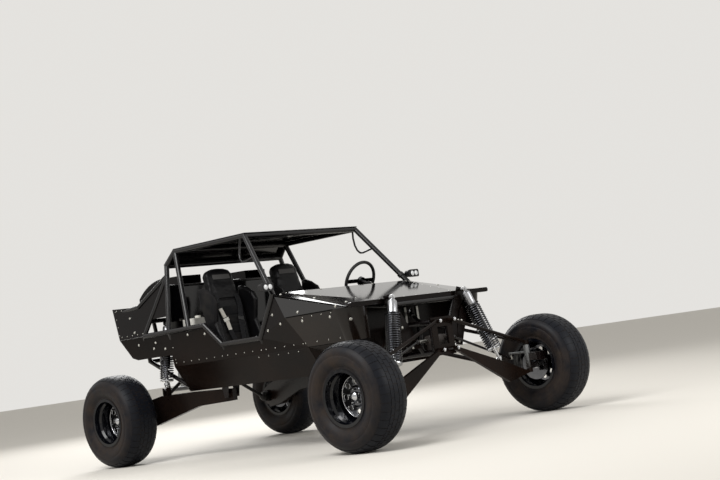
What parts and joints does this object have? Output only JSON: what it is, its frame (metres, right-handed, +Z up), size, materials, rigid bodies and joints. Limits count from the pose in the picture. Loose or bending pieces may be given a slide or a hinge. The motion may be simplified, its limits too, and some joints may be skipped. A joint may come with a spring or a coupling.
{
  "type": "dune buggy",
  "caption": "Two-seat dune buggy with a welded tube frame, flat black panels, long front arms, trailing rear arms and wide sand tyres; wheels roll and steering turns.",
  "frame": {"origin": "on the ground, midway between the axles and between the sides", "axes": "+X forward along the car, +Y to its left, +Z up"},
  "size_m": [3.9102, 2.52, 1.8164],
  "materials": {
    "frame_paint": "satin black powder coat",
    "panel_paint": "gloss black paint on sheet aluminium",
    "wheel_paint": "semi-gloss black",
    "tyre_rubber": "dusty",
    "bright_steel": "bright",
    "dark_steel": "dark",
    "cast_alloy": "as cast",
    "seat_cloth": "black vinyl and cloth",
    "grip_rubber": "matte",
    "lamp_plastic": "black with clear lenses",
    "tank_plastic": "white"
  },
  "bodies": {
    "chassis": {"lower_frame": "frame_paint", "cabin_frame": "frame_paint", "rear_frame": "frame_paint", "nose_frame": "frame_paint", "pillar_loops": "frame_paint", "side_panels": "panel_paint", "quarter_panels": "panel_paint", "cowl_panels": "panel_paint", "wing_panels": "panel_paint", "footwell_panels": "panel_paint", "hood": "panel_paint", "roof_panel": "panel_paint", "floor_pan": "panel_paint", "front_wall": "panel_paint", "dash": "panel_paint", "rear_wall": "panel_paint", "deck": "panel_paint", "air_scoops": "panel_paint", "coolant_tank": "tank_plastic", "seats": "seat_cloth", "seat_rails": "frame_paint", "steering_column": "frame_paint", "rack_housing": "cast_alloy", "nose_brackets": "frame_paint", "front_arms": "frame_paint", "trailing_arms": "frame_paint", "rear_hangers": "frame_paint", "coilovers": "bright_steel", "half_shafts": "dark_steel", "transaxle": "cast_alloy", "engine": "dark_steel", "lamps": "lamp_plastic", "tow_eyes": "frame_paint"},
    "knuckle_right": {"knuckle_right": "frame_paint"},
    "knuckle_left": {"knuckle_left": "frame_paint"},
    "rack": {"rack_and_tie_rods": "bright_steel"},
    "hand_wheel": {"steering_wheel": "grip_rubber"},
    "wheel_front_right": {"tyre_front_right": "tyre_rubber", "rim_front_right": "wheel_paint"},
    "wheel_front_left": {"tyre_front_left": "tyre_rubber", "rim_front_left": "wheel_paint"},
    "wheel_rear_right": {"tyre_rear_right": "tyre_rubber", "rim_rear_right": "wheel_paint"},
    "wheel_rear_left": {"tyre_rear_left": "tyre_rubber", "rim_rear_left": "wheel_paint"}
  },
  "joints": [
    {"name": "steer_left", "type": "hinge", "parent": "chassis", "child": "knuckle_left", "pos_m": [1.555, 0.905, 0.4], "axis": [0, 0, 1], "range_deg": [-30, 30]},
    {"name": "steer_right", "type": "hinge", "parent": "chassis", "child": "knuckle_right", "pos_m": [1.555, -0.905, 0.4], "axis": [0, 0, 1], "range_deg": [-30, 30]},
    {"name": "rack_slide", "type": "slide", "parent": "chassis", "child": "rack", "axis": [0, 1, 0], "range_m": [-0.087, 0.087]},
    {"name": "steering_wheel_turn", "type": "hinge", "parent": "chassis", "child": "hand_wheel", "pos_m": [0.275, 0.39, 1.305], "axis": [-0.9071, 0, 0.4209], "range_deg": [-271, 271]},
    {"name": "spin_front_right", "type": "hinge", "parent": "knuckle_right", "child": "wheel_front_right", "pos_m": [1.555, -1.1, 0.4], "axis": [0, 1, 0], "continuous": true},
    {"name": "spin_front_left", "type": "hinge", "parent": "knuckle_left", "child": "wheel_front_left", "pos_m": [1.555, 1.1, 0.4], "axis": [0, 1, 0], "continuous": true},
    {"name": "spin_rear_right", "type": "hinge", "parent": "chassis", "child": "wheel_rear_right", "pos_m": [-1.555, -0.995, 0.4], "axis": [0, 1, 0], "continuous": true},
    {"name": "spin_rear_left", "type": "hinge", "parent": "chassis", "child": "wheel_rear_left", "pos_m": [-1.555, 0.995, 0.4], "axis": [0, 1, 0], "continuous": true}
  ],
  "couplings": [
    {"joint": "steer_right", "follows": "steer_left", "ratio": 1},
    {"joint": "rack_slide", "follows": "steer_left", "m_per_rad": -0.1642},
    {"joint": "steering_wheel_turn", "follows": "steer_left", "ratio": 9}
  ]
}
